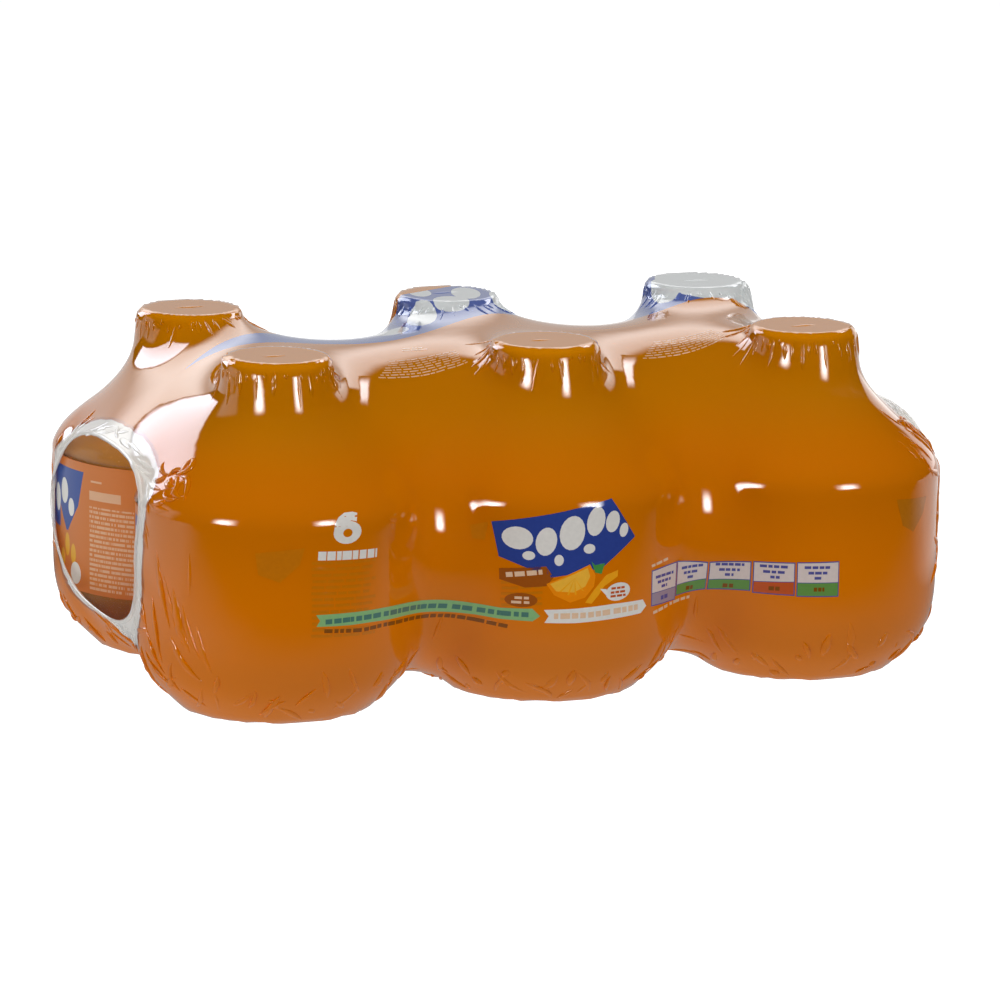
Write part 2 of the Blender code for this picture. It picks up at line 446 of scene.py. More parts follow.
# Each round evens the film's tension, then lifts it back off the bottles
def drawTight(piece, former, rounds, easing, group="free"):
    for _ in range(rounds):
        applyModifier(piece, "SMOOTH", factor=0.5, iterations=easing, vertex_group=group)
        applyModifier(piece, "SHRINKWRAP", target=former, wrap_method="NEAREST_SURFACEPOINT",
                      wrap_mode="OUTSIDE", offset=film["offset"] * mm, vertex_group=group)


# Finer faces round the caps, so that the film turns sharply over their edges
def refineCaps(piece, former):
    reach, low = film["capReach"]
    pick(piece)
    bpy.ops.object.mode_set(mode="EDIT")
    bpy.context.tool_settings.mesh_select_mode = (False, False, True)
    bpy.ops.mesh.select_all(action="DESELECT")
    bpy.ops.object.mode_set(mode="OBJECT")
    for polygon in piece.data.polygons:
        middle = polygon.center
        polygon.select = middle.z > low * mm and any(
            math.hypot(middle.x - place.x, middle.y - place.y) < reach * mm for place in places.values())
    bpy.ops.object.mode_set(mode="EDIT")
    bpy.ops.mesh.subdivide(number_cuts=1)
    bpy.ops.object.mode_set(mode="OBJECT")
    near = piece.vertex_groups.new(name="near")
    near.add([point.index for point in piece.data.vertices if point.select], 1.0, "REPLACE")
    drawTight(piece, former, 5, 2, "near")


# The points of both hole edges, each edge in order round the hole
def rimPoints(piece):
    edges = {}
    count = {}
    for polygon in piece.data.polygons:
        for key in polygon.edge_keys:
            count[key] = count.get(key, 0) + 1
    for (one, two), uses in count.items():
        if uses == 1:
            edges.setdefault(one, []).append(two)
            edges.setdefault(two, []).append(one)
    loops = []
    while edges:
        here = next(iter(edges))
        loop = []
        while here in edges:
            loop.append(piece.data.vertices[here].co.copy())
            near = edges.pop(here)
            here = next((n for n in near if n in edges), None)
        loops.append(loop)
    return loops


# Each point keeps its distance from the nearest hole edge, in millimetres
def markRim(piece, loops):
    tree = KDTree(sum(len(loop) for loop in loops))
    for index, point in enumerate(point for loop in loops for point in loop):
        tree.insert(point, index)
    tree.balance()
    marks = piece.data.attributes.new("fromRim", "FLOAT", "POINT")
    for point in piece.data.vertices:
        marks.data[point.index].value = tree.find(point.co)[2] / mm


def makeFilm():
    former = makeFormer()
    piece = looseFilm()
    for level, (rounds, easing) in enumerate(zip(film["rounds"], film["easing"])):
        if level:
            applyModifier(piece, "SUBSURF", levels=1, render_levels=1, boundary_smooth="ALL")
        drawTight(piece, former, rounds, easing)
    refineCaps(piece, former)
    for point in piece.data.vertices:
        point.co.z = max(point.co.z, film["thickness"] * mm)
    bpy.data.objects.remove(former)
    piece.vertex_groups.clear()
    turnOutwards(piece)
    return piece


# Folds: tapered ridges of gathered film that run over the skin from a start, along a heading

folds = {
    "step": 0.6,            # along a fold
    "sink": 0.12,           # how far its edges dip into the skin
    "sides": 8,
    "bead": (1.3, 0.6),     # width and height of the rolled edge of each hole
    # the drawn folds, by kind: where they start, how many and how big; lean is a share of the width
    "cap": {"count": 44, "start": 14.6, "from": (89.0, 90.6), "length": (2.5, 12.0), "width": (0.7, 1.7),
            "height": (0.15, 0.45), "lean": (-0.5, 0.5)},
    "rim": {"every": 3.2, "start": (0.8, 4.5), "length": (5.0, 16.0), "width": (0.9, 2.6),
            "height": (0.15, 0.5), "lean": (-0.6, 0.6)},
    "base": {"count": 64, "start": 25.0, "lift": (1.0, 9.0), "reach": 2.5, "length": (3, 12),
             "width": (0.9, 2.6), "height": (0.2, 0.65), "lean": (-0.6, 0.6)},
    "knot": {"middle": (106.5, -46, 63), "spread": 5.0, "count": 13, "length": (5.0, 12.0), "bend": (10, 26),
             "width": (1.1, 2.2), "height": (0.45, 0.95), "lean": (-0.6, 0.6)},
    "lens": {"start": -4.5, "shift": (-1.5, 1.5), "length": (7, 10), "shape": (1.8, 0.22, -0.4)},
}
# the folds that stand out: start on the skin, heading, length, bend in degrees per millimetre, width, height
foldList = [
    ((-108, -47, 46), (0.0, -0.1, -1), 22, 0.8, 2.4, 0.55),
    ((-107, -50, 40), (0.0, -0.2, -1), 20, 1.2, 1.8, 0.5),
    ((-106, -53, 37), (0.1, -0.2, -1), 18, 1.2, 2.8, 0.6),
    ((-105, -56, 33), (0.1, -0.2, -1), 16, 1.5, 1.6, 0.4),
    ((-108, -45, 33), (0.0, -0.1, -1), 18, 0.7, 2.2, 0.6),
    ((-106, -52, 24), (0.1, -0.3, -1), 15, 1.8, 2.4, 0.5),
    ((-103, -60, 28), (0.1, -0.1, -1), 14, 1.0, 1.4, 0.35),
    ((-108, -42, 24), (0.1, -0.2, -1), 14, 2.0, 2.0, 0.55),
    ((-104, -58, 47), (0.0, 0.0, -1), 12, 0.6, 1.2, 0.3),
    ((-109, -40, 18), (0.1, -0.5, -1), 14, 2.0, 2.2, 0.6),
    ((93, -56, 64), (0.8, -0.2, -0.7), 14, 0.5, 1.4, 0.45),
    ((96, -52, 63), (0.8, -0.1, -0.7), 13, 0.5, 1.6, 0.5),
    ((98, -48, 62), (0.8, 0.0, -0.7), 14, 0.5, 1.5, 0.5),
    ((95, -60, 61), (0.7, -0.2, -0.8), 12, 0.5, 1.2, 0.4),
    ((91, -60, 62), (0.6, -0.3, -0.8), 9, 0.5, 1.0, 0.3),
    ((100, -44, 62), (0.9, 0.0, -0.6), 12, 0.5, 1.4, 0.45),
    ((88, -50, 68), (0.8, -0.1, -0.7), 10, 0.5, 1.0, 0.3),
    ((107, -50, 56), (0.4, -0.3, -1), 16, 0.8, 1.6, 0.5),
    ((106, -54, 50), (0.2, -0.2, -1), 16, 0.8, 1.8, 0.5),
    ((107, -50, 38), (0.1, -0.2, -1), 14, 1.0, 1.6, 0.5),
    ((107, -55, 50), (0.3, 0.6, -0.5), 13, 1.5, 2.0, 0.5),
    ((106, -58, 44), (0.2, 0.6, -0.5), 14, 1.0, 1.8, 0.45),
    ((105, -60, 37), (0.2, 0.7, -0.3), 13, 0.5, 2.2, 0.5),
    ((107, -55, 30), (0.2, 0.7, 0.1), 12, -0.5, 1.8, 0.45),
    ((104, -62, 24), (0.3, 0.6, 0.4), 12, -1.0, 2.0, 0.5),
    ((100, -64, 57), (0.5, 0.4, -0.4), 15, 1.5, 1.8, 0.4),
    ((-37.5, -60, 14), (0.2, 0, 1), 9, 1.0, 1.4, 0.4), ((37.5, -60, 14), (-0.2, 0, 1), 9, -1.0, 1.4, 0.4),
    ((86, 28, 92.5), (1, -0.5, -0.6), 8, 0.0, 2.6, 1.2),
    ((84, 26, 92.3), (0.7, -0.9, -0.6), 7, 0.0, 2.0, 0.9),
    ((88, 32, 92.3), (1, -0.2, -0.8), 9, 0.0, 2.4, 1.2), ((89, 37, 92), (1, 0.1, -0.8), 8, 0.0, 2.2, 1.0),
    ((-51, -76, 53), (1, 0, 0.6), 3.5, -25, 0.9, 0.35), ((-49.5, -76, 52), (0.3, 0, 1), 3, 20, 0.8, 0.3),
]


# Follows the skin from a start. bend is degrees per millimetre, wander adds an uneven bend.
def walkFold(skin, start, heading, length, bend=0.0, wander=0.0, seed=0.0):
    spot, normal, _, _ = skin.find_nearest(start)
    path = []
    for step in range(max(int(length / folds["step"]), 3) + 1):
        path.append((spot, normal))
        turn = bend + wander * noise.noise(Vector((step * 0.25, seed, 0)))
        heading = (heading - normal * heading.dot(normal)).normalized()
        heading.rotate(Quaternion(normal, math.radians(turn * folds["step"])))
        spot, nextNormal, _, _ = skin.find_nearest(spot + heading * folds["step"] * mm)
        normal = (normal + nextNormal).normalized()
    return path


# Adds a ridge along a path to the lists of points and faces of a mesh
def addFold(mesh, path, width, height, lean=0.0, closed=False):
    points, faces = mesh
    sides, last = folds["sides"], len(path) - 1
    first = len(points)
    for k, (spot, normal) in enumerate(path):
        ahead = (k + 1) % len(path) if closed else min(k + 1, last)
        behind = k - 1 if closed else max(k - 1, 0)
        along = (path[ahead][0] - path[behind][0]).normalized()
        side = along.cross(normal).normalized()
        taper = 1.0 if closed else max(math.sin(math.pi * k / last), 0.0) ** 0.7 + 0.02
        swell = 1 + 0.25 * noise.noise(spot * 400)
        for turn in range(sides):
            angle = 2 * math.pi * turn / sides
            rise = max(math.sin(angle), 0)
            out = (math.cos(angle) + lean * rise) * width / 2 * taper * swell
            up = rise * height * taper * swell - folds["sink"] * (1 if rise <= 0.01 else 0.3)
            points.append(spot + (side * out + normal * up) * mm)
    rings = len(path) if closed else last
    for k in range(rings):
        here, there = first + k * sides, first + (k + 1) % len(path) * sides
        for turn in range(sides):
            faces.append((here + turn, here + (turn + 1) % sides, there + (turn + 1) % sides, there + turn))
    if not closed:
        faces.append(tuple(first + turn for turn in reversed(range(sides))))
        faces.append(tuple(first + last * sides + turn for turn in range(sides)))


# Evenly spread directions round a bottle, each a little off its place
def unevenTurns(draw, count):
    for number in range(count):
        angle = 2 * math.pi * (number + draw.uniform(-0.4, 0.4)) / count
        yield number, Vector((math.cos(angle), math.sin(angle), 0))


def drawnFold(mesh, path, look, draw):
    width, height = draw.uniform(*look["width"]), draw.uniform(*look["height"])
    addFold(mesh, path, width, height, draw.uniform(*look["lean"]))


# Pleats that run down and out from under each cap
def capFolds(mesh, skin, draw):
    look = folds["cap"]
    for place in places.values():
        for number, out in unevenTurns(draw, look["count"]):
            start = place + out * look["start"] * mm + Vector((0, 0, draw.uniform(*look["from"]) * mm))
            length = draw.uniform(*look["length"]) * draw.uniform(0.4, 1)
            path = walkFold(skin, start, out - Vector((0, 0, 1.2)), length, wander=3, seed=number)
            drawnFold(mesh, path, look, draw)


# A rolled bead on each hole edge, wavy rolls beside it, and short curved folds that run away from it
def rimFolds(mesh, skin, loops, draw):
    look = folds["rim"]
    for loop in loops:
        middle = sum(loop, Vector()) / len(loop)
        onSkin = [(point, skin.find_nearest(point)[1]) for point in loop]
        addFold(mesh, onSkin, *folds["bead"], closed=True)
        sense = draw.choice((-1, 1))
        travelled = 0.0
        for k, point in enumerate(loop):
            travelled += (point - loop[k - 1]).length / mm
            if travelled < look["every"] * draw.uniform(0.5, 1.6):
                continue
            travelled = 0.0
            away = (point - middle).normalized()
            along = (loop[(k + 1) % len(loop)] - loop[k - 1]).normalized()
            slant = draw.uniform(1.0, 6.0) * (sense if draw.random() < 0.75 else -sense)
            start, length = point + away * draw.uniform(*look["start"]) * mm, draw.uniform(*look["length"])
            path = walkFold(skin, start, away + along * slant, length, draw.uniform(-3, 3), 8, k * 1.7)
            drawnFold(mesh, path, look, draw)


# Crumples where the film turns under each foot
def baseFolds(mesh, skin, draw):
    look, up = folds["base"], Vector((0, 0, 1))
    for place in places.values():
        for number, out in unevenTurns(draw, look["count"]):
            lift = draw.uniform(*look["lift"])
            start = place + (out * (look["start"] + lift) + up * lift) * mm
            if skin.find_nearest(start)[3] > look["reach"] * mm:
                continue
            heading = up + out.cross(up) * draw.uniform(-0.9, 0.9)
            length, bend = draw.uniform(*look["length"]), draw.uniform(-4, 4)
            path = walkFold(skin, start, heading, length, bend, 10, number * 3.1)
            drawnFold(mesh, path, look, draw)


# The folds that stand out, and the knot of curled film at the top of each hole's front side
def longFolds(mesh, skin, draw):
    look = folds["knot"]
    for number, (start, heading, length, bend, width, height) in enumerate(foldList):
        path = walkFold(skin, Vector(start) * mm, Vector(heading), length, bend, 5, number * 2.3)
        addFold(mesh, path, width, height, draw.uniform(*look["lean"]))
    x, y, z = look["middle"]
    for side in (-1, 1):
        for number in range(look["count"]):
            shift = Vector([draw.uniform(-look["spread"], look["spread"]) for _ in range(3)])
            start = (Vector((side * x, y, z)) + shift) * mm
            heading = Vector([draw.uniform(-1, 1) for _ in range(3)])
            length = draw.uniform(*look["length"])
            bend = draw.choice((-1, 1)) * draw.uniform(*look["bend"])
            path = walkFold(skin, start, heading, length, bend, 16, number * 5.7)
            drawnFold(mesh, path, look, draw)


# A lens of slack film across each cap's top
def lensFolds(mesh, skin, draw):
    look = folds["lens"]
    for place in places.values():
        start = place + Vector((look["start"], draw.uniform(*look["shift"]), cap["top"] + 1.0)) * mm
        heading = Vector((1, draw.uniform(-0.15, 0.15), 0))
        addFold(mesh, walkFold(skin, start, heading, draw.uniform(*look["length"])), *look["shape"])


def makeFolds(piece, loops):
    skin = BVHTree.FromObject(piece, bpy.context.evaluated_depsgraph_get())
    draw = random.Random(7)
    mesh = ([], [])
    capFolds(mesh, skin, draw)
    longFolds(mesh, skin, draw)
    lensFolds(mesh, skin, draw)
    rimFolds(mesh, skin, loops, draw)
    baseFolds(mesh, skin, draw)
    made = fromPoints("filmFolds", *mesh)
    turnOutwards(made)
    made.data.shade_smooth()
    return made


# The print: thin sheets of ink on the film, shapes given in millimetres as seen straight from the front
# (x, z) or from above (x, y)

prints = {
    "cell": 1.5,            # the sheets are cut this fine, to follow the film
    "lift": 0.06,
    "layer": 0.035,
    "thickness": 0.05,
    "wear": 0.86,           # how dark the ink gets where it is thick
    "grain": 1.11,          # millimetres
}
inks = {
    "white": "#F2EEE8", "blue": "#33489A", "green": "#90C283", "leaf": "#4E9A4A", "darkGreen": "#4F7F74",
    "guideGreen": "#6A9A4C", "red": "#CC5A28", "lilac": "#A494A6", "brown": "#A85818", "rind": "#FF9410",
    "flesh": "#FFC040", "splash": "#FFAE20", "ghost": "#D27A0C", "deepGhost": "#C67610", "pale": "#F2CDAA",
    "guideWhite": "#E6D6D0", "body": "#E07C00", "guideBlue": "#5A5A9E", "line": "#8A5010",
}
greenRibbon = [
    (-76.7, 31.9), (-67.2, 31.7), (-57.0, 31.4), (-43.5, 30.4), (-34.7, 29.6), (-28.7, 28.9),
    (-23.1, 28.2), (-15.8, 28.4), (-13.9, 26.4), (-15.7, 25.0), (-23.1, 25.2), (-28.5, 25.8),
    (-34.3, 26.2), (-43.2, 27.0), (-52.5, 27.7), (-61.1, 28.3), (-67.2, 28.4), (-76.6, 28.8),
    (-75.6, 30.3),
]
# ink, layer and outline of each printed shape
frontShapes = [
    ("ghost", 0, [(-91.9, 48.4), (-79.7, 49.7), (-81.0, 45.3), (-86.0, 40.7), (-91.2, 42.7)]),
    ("deepGhost", 0, [(87.6, 51.0), (99.6, 49.8), (98.2, 45.6), (94.2, 41.2), (90.0, 43.6)]),
    ("ghost", 0, [(-30.0, 49.8), (-25.9, 50.9), (-26.7, 46.1), (-29.6, 46.4)]),
    ("green", 1, greenRibbon),
    ("white", 0, [(-13.0, 28.1), (-5.0, 28.3), (5.5, 28.8), (15.2, 28.7), (16.5, 26.8), (14.6, 25.1),
                  (5.6, 24.8), (-5.0, 24.4), (-12.8, 24.6), (-11.8, 26.4)]),
    ("blue", 1, [(-25.2, 51.1), (5.0, 57.0), (12.2, 46.2), (2.4, 38.9), (-11.3, 36.8), (-23.6, 42.0)]),
    ("brown", 1, [(-23.5, 38.8), (-12.6, 39.8), (-10.7, 36.8), (-12.5, 34.5), (-17.6, 34.0), (-23.4, 35.9)]),
    ("rind", 2, [(-12.5, 35.1), (-1.2, 40.0), (0.4, 37.0), (0.0, 34.0), (-2.4, 31.2), (-6.4, 30.0),
                 (-10.6, 32.1)]),
    ("flesh", 3, [(-11.6, 35.1), (-1.8, 39.1), (-1.1, 36.8), (-2.4, 34.2), (-5.5, 32.7), (-10.0, 33.1)]),
    ("leaf", 3, [(-0.8, 40.8), (0.2, 39.7), (3.0, 40.0), (2.1, 37.2), (0.3, 37.7)]),
    ("splash", 1, [(-2.4, 29.8), (0.0, 33.0), (3.5, 36.8), (7.0, 37.8), (6.9, 36.1), (2.9, 33.8), (1.4, 31.6),
                   (-0.6, 29.4)]),
    ("white", 2, [(1.8, 33.2), (3.6, 33.0), (4.2, 30.6)]),
    # the stem of the printed count, a plain figure; its bowl and the hole in it are among the ovals
    ("white", 0, [(-72.0, 53.2), (-71.6, 55.4), (-70.4, 57.0), (-68.6, 57.9), (-66.2, 57.9), (-64.9, 57.5),
                  (-65.3, 55.5), (-66.8, 55.9), (-68.4, 55.5), (-69.2, 54.4), (-69.3, 53.0)]),
]
# ink, layer, middle, half sizes and lean of each printed oval
ovals = [
    ("white", 2, (-19.4, 47.2), (3.6, 3.0), -12), ("white", 2, (-12.6, 46.4), (2.6, 3.8), -10),
    ("white", 2, (-6.0, 48.6), (3.3, 4.6), -10), ("white", 2, (0.4, 51.4), (2.5, 3.9), -12),
    ("white", 2, (5.2, 51.0), (2.0, 2.9), -12), ("white", 2, (8.6, 48.4), (1.3, 1.9), -12),
    ("white", 2, (-16.8, 42.6), (1.5, 1.2), 0), ("white", 2, (-9.4, 41.4), (1.2, 1.5), 0),
    ("white", 2, (-1.4, 44.2), (1.6, 1.3), 0), ("white", 0, (-68.0, 52.9), (4.05, 2.95), 0),
    ("body", 1, (-68.0, 52.8), (1.35, 1.1), 0), ("brown", 1, (-18.4, 30.6), (3.8, 1.9), 0),
    ("white", 3, (7.1, 32.0), (3.7, 2.4), 6),
]
# ink, layer, path and height of each row of small bars, and where they differ from the usual ones also the
# bars' shortest and longest length and their gap
barRows = [
    ("white", 0, [(-76.3, 47.4), (-59.0, 46.4)], 2.3, (1.2, 3.0), 0.35),
    ("darkGreen", 2, [(-74.6, 29.9), (-67.2, 29.9), (-57.0, 29.7), (-43.4, 28.7), (-34.5, 27.9),
                      (-28.6, 27.3), (-23.1, 26.8), (-16.0, 26.7)], 1.3),
    ("line", 1, [(-74.6, 27.5), (-63.4, 26.6), (-56.9, 26.8), (-43.0, 25.7), (-34.2, 25.1), (-28.4, 24.4),
                 (-21.4, 23.3)], 1.0),
    ("pale", 1, [(-10.5, 26.4), (-1.6, 26.4), (5.6, 26.8), (13.5, 27.0)], 1.5),
    ("pale", 2, [(-22.0, 37.2), (-13.5, 38.3)], 1.3),
    ("pale", 2, [(-20.4, 31.2), (-16.4, 31.2)], 0.7),
    ("pale", 2, [(-20.8, 30.0), (-16.0, 30.0)], 0.7),
]
# each cell of the guide table: its left and right edge, as place, top, middle and foot, and its lower ink
cells = [
    ((18.3, 35.9, 29.7, 26.2), (28.0, 36.4, 29.5, 25.8), "lilac"),
    ((28.2, 36.5, 29.8, 26.7), (38.3, 34.9, 30.2, 27.1), "guideGreen"),
    ((38.7, 34.9, 29.9, 27.0), (49.1, 35.2, 30.1, 27.0), "guideGreen"),
    ((49.5, 35.3, 29.8, 26.6), (59.1, 35.5, 30.2, 26.4), "red"),
    ((59.5, 35.6, 30.0, 26.2), (70.4, 35.8, 30.0, 26.1), "guideGreen"),
]


def ovalPoints(middle, reach, lean, count=20):
    turn = math.radians(lean)
    points = []
    for k in range(count):
        angle = 2 * math.pi * k / count
        across, up = reach[0] * math.cos(angle), reach[1] * math.sin(angle)
        points.append((middle[0] + across * math.cos(turn) - up * math.sin(turn),
                       middle[1] + across * math.sin(turn) + up * math.cos(turn)))
    return points


# Small uneven bars along a path
def dashes(draw, ink, layer, path, tall, lengths=(1.0, 2.6), gap=0.5):
    made = []
    for (x1, y1), (x2, y2) in zip(path, path[1:]):
        whole = math.hypot(x2 - x1, y2 - y1)
        dx, dy, up = (x2 - x1) / whole, (y2 - y1) / whole, tall / 2
        reached = draw.uniform(0, gap)
        while reached < whole - 0.4:
            far = min(reached + draw.uniform(*lengths), whole)
            corners = ((reached, -up), (far, -up), (far, up), (reached, up))
            outline = [(x1 + dx * at - dy * side, y1 + dy * at + dx * side) for at, side in corners]
            made.append((ink, layer, outline))
            reached = far + gap * draw.uniform(0.7, 1.3)
    return made


# A cell of the guide table: a blue frame, a white field over a coloured one, and its rows of bars
def guideCell(leftEdge, rightEdge, ink):
    (left, top1, mid1, foot1), (right, top2, mid2, foot2) = leftEdge, rightEdge
    a, b = left + 0.25, right - 0.25
    fields = [
        ("guideBlue", 0, [(left, top1), (right, top2), (right, foot2), (left, foot1)]),
        ("guideWhite", 1, [(a, top1 - 0.3), (b, top2 - 0.3), (b, mid2 + 0.1), (a, mid1 + 0.1)]),
        (ink, 1, [(a, mid1 - 0.1), (b, mid2 - 0.1), (b, foot2 + 0.3), (a, foot1 + 0.3)]),
    ]
    middle, centre = (left + right) / 2, (mid1 + mid2) / 2
    rows = []
    for rise, half in ((4.2, 3.6), (2.7, 2.6), (1.3, 1.2)):
        path = [(middle - half, centre + rise), (middle + half, centre + rise)]
        rows.append(("guideBlue", 2, path, 0.75, (0.8, 2.0), 0.3))
    rows.append(("line" if ink != "lilac" else "guideBlue", 2,
                 [(middle - 1.4, centre - 1.8), (middle + 1.6, centre - 1.8)], 1.1, (0.8, 1.4), 0.3))
    return fields, rows


def frontPrint():
    shapes = frontShapes + [(ink, layer, ovalPoints(*oval)) for ink, layer, *oval in ovals]
    for share in (0.2, 0.4, 0.6, 0.8):     # the orange slice's segments
        x, z = 10 * share - 11, 34.6 - 2.6 * math.sin(math.pi * share)
        shapes.append(("splash", 4, [(-5.3, 36.6), (x - 0.25, z), (x + 0.25, z - 0.1)]))
    rows = barRows + [("red", 4, [(4.8, z), (9.4, z)], 0.6, (0.8, 1.6), 0.3) for z in (33.0, 31.9, 30.9)]
    for row in range(13):                  # the label of the bottle behind shows faintly through the film
        z = 44.8 - row * 1.6
        path = [(-78.0, z + 0.8), (-63.5, z), (-59.4 - row % 3, z - 0.1)]
        rows.append(("ghost", 0, path, 0.75, (2, 7), 0.4))
    for row in range(5):
        rows.append(("ghost", 0, [(-23.2, 35.0 - row * 1.5), (-13.4, 35.8 - row * 1.5)], 0.7, (2, 6), 0.4))
    for cell in cells:
        fields, bars = guideCell(*cell)
        shapes += fields
        rows += bars
    rows.append(("pale", 0, [(18.2, 37.1), (24.5, 37.9)], 0.7))
    rows.append(("pale", 0, [(19.1, 24.3), (25.5, 25.1), (33.7, 25.4)], 0.8))
    draw = random.Random(3)
    return shapes + [bar for row in rows for bar in dashes(draw, *row)]


def topPrint():
    rows = []
    for row in range(8):
        for path in ([(row - 43.3, -26.9), (-36.9, -26.8), (-30.7, -27.2), (-23.7, -27.3), (-18.5, -28.6)],
                     [(row + 33.5, -24.6), (40.6, -24.4), (47.8, -24.5), (53.6, -24.2), (58.4, -23.8)]):
            rows.append(("pale", 0, [(x, y + row * 1.35) for x, y in path], 0.42, (0.8, 2.4)))
    rows.append(("pale", 0, [(-30.3, -8.6), (-24.8, -10.6)], 0.8))
    rows.append(("pale", 0, [(-30.6, -10.2), (-24.0, -12.4)], 0.8))
    draw = random.Random(5)
    return [bar for row in rows for bar in dashes(draw, *row)]


# Cuts the sheet across, every few millimetres, square to one axis
def cutFine(data, axis):
    reach = [point.co[axis] for point in data.vertices]
    square = [float(k == axis) for k in range(3)]
    at = min(reach) + prints["cell"] * mm
    bpy.ops.object.mode_set(mode="EDIT")
    while at < max(reach):
        bpy.ops.mesh.select_all(action="SELECT")
        bpy.ops.mesh.bisect(plane_co=[at * part for part in square], plane_no=square)
        at += prints["cell"] * mm
    bpy.ops.object.mode_set(mode="OBJECT")


# Cuts the shapes fine and lays them on the skin, seen straight from the front or from above
def makePrint(name, shapes, skin, fromAbove, inkLooks):
    used = [ink for ink in inks if any(ink == shape[0] for shape in shapes)]
    far = 200                              # millimetres from the pack's middle, clear of the film
    points, faces = [], []
    for ink, layer, outline in shapes:
        faces.append(tuple(range(len(points), len(points) + len(outline))))
        away = far + layer
        points += [Vector((a, b, away) if fromAbove else (a, -away, b)) * mm for a, b in outline]
    made = fromPoints(name, points, faces)
    data = made.data
    for ink in used:
        data.materials.append(inkLooks[ink])
    for polygon, (ink, _, _) in zip(data.polygons, shapes):
        polygon.material_index = used.index(ink)
    pick(made)
    bpy.ops.object.mode_set(mode="EDIT")
    bpy.ops.mesh.select_all(action="SELECT")
    bpy.ops.mesh.quads_convert_to_tris(ngon_method="CLIP")
    bpy.ops.object.mode_set(mode="OBJECT")
    cutFine(data, 0)
    cutFine(data, 1 if fromAbove else 2)
    towardsSkin = Vector((0, 0, -1)) if fromAbove else Vector((0, 1, 0))
    for point in data.vertices:
        layer = abs(point.co[2 if fromAbove else 1]) / mm - far
        spot, normal, _, _ = skin.ray_cast(point.co, towardsSkin)
        if spot is None:
            spot, normal, _, _ = skin.find_nearest(point.co)
        point.co = spot + normal * (prints["lift"] + prints["layer"] * layer) * mm
    data.update()
    for polygon in data.polygons:
        if polygon.normal.dot(towardsSkin) > 0:
            polygon.flip()
    applyModifier(made, "SOLIDIFY", thickness=prints["thickness"] * mm, offset=-1.0)
    smoothShade(made, 50)
    made.visible_shadow = False
    return made


# Materials

softly = {"interpolation_type": "SMOOTHSTEP"}      # a Map Range node that eases in and out


# 1 inside an oval or a box of the print, from its middle and half sizes, else 0
def printedMark(tree, place, middle, reach, lean=0.0, boxed=False):
    spans = [place, (*middle, 0), (0, 0, lean), (*reach, 1000)]
    local = addNode(tree, "Mapping", spans, vector_type="TEXTURE")
    if boxed:
        sides = [addNode(tree, "SeparateXYZ", [local], axis) for axis in "XY"]
        sides = [addNode(tree, "Math", [side], operation="ABSOLUTE") for side in sides]
        away = addNode(tree, "Math", sides, operation="MAXIMUM")
    else:
        away = addNode(tree, "VectorMath", [local], "Value", operation="LENGTH")
    return addNode(tree, "Math", [away, 1.0], operation="LESS_THAN")


filmPrint = {
    "foot": "#E67E00",
    # each band: from and to height in millimetres, and the colour above it. The bands are painted shade,
    # darker up the shoulders and neck, and painted light, lighter over the cap tops
    "shadingBands": [(30, 60, "#D67700"), (60, 80, "#CC7C00"), (90.5, 92.5, "#DA8800")],
    "clear": "#F2EFEA",
    "inkEdge": "#A85A1C",
    "uneven": 7.14,         # millimetres between the waves of the ink's edge
    "ripple": 11.1,         # and between those of the stretched film
    "field": "#6072B4",
    "oval": "#E4E8E8",
    "lean": -0.25,          # radians
    # middle and half sizes of the ovals in the top's field, millimetres
    "ovals": [
        ((-24, 17), (5, 7)), ((-13, 22), (4, 8)), ((-3, 26), (5, 7)), ((5, 36), (4, 9)),
        ((13, 30), (3, 8)), ((22, 34), (4, 8)), ((-7, 40), (3, 6)), ((64, 33), (4, 9)),
        ((78, 37), (14.5, 19)), ((88, 36), (3.5, 9)), ((97, 30), (3, 6)),
    ],
}


# The blue field with white ovals that is printed over the back of the pack's top
def topField(tree, place, body):
    x, y, z = [addNode(tree, "SeparateXYZ", [place], axis) for axis in "XYZ"]
    near = addNode(tree, "MapRange", [x, -0.034, 0.022, 0.001, 0.0198], **softly)
    far = addNode(tree, "Math", [x, 0.5, 0.045], operation="MULTIPLY_ADD")
    field = addNode(tree, "Math", [z, 0.058], operation="GREATER_THAN")
    for more, less in ((y, near), (far, y)):
        inside = addNode(tree, "Math", [more, less], operation="GREATER_THAN")
        field = addNode(tree, "Math", [field, inside], operation="MULTIPLY")
    marks = []
    for oval in filmPrint["ovals"]:
        middle, reach = [[part * mm for part in pair] for pair in oval]
        mark = printedMark(tree, place, middle, reach, filmPrint["lean"])
        marks.append((mark, filmPrint["oval"]))
    return coated(tree, body, (field, coated(tree, linear(filmPrint["field"]), *marks)))


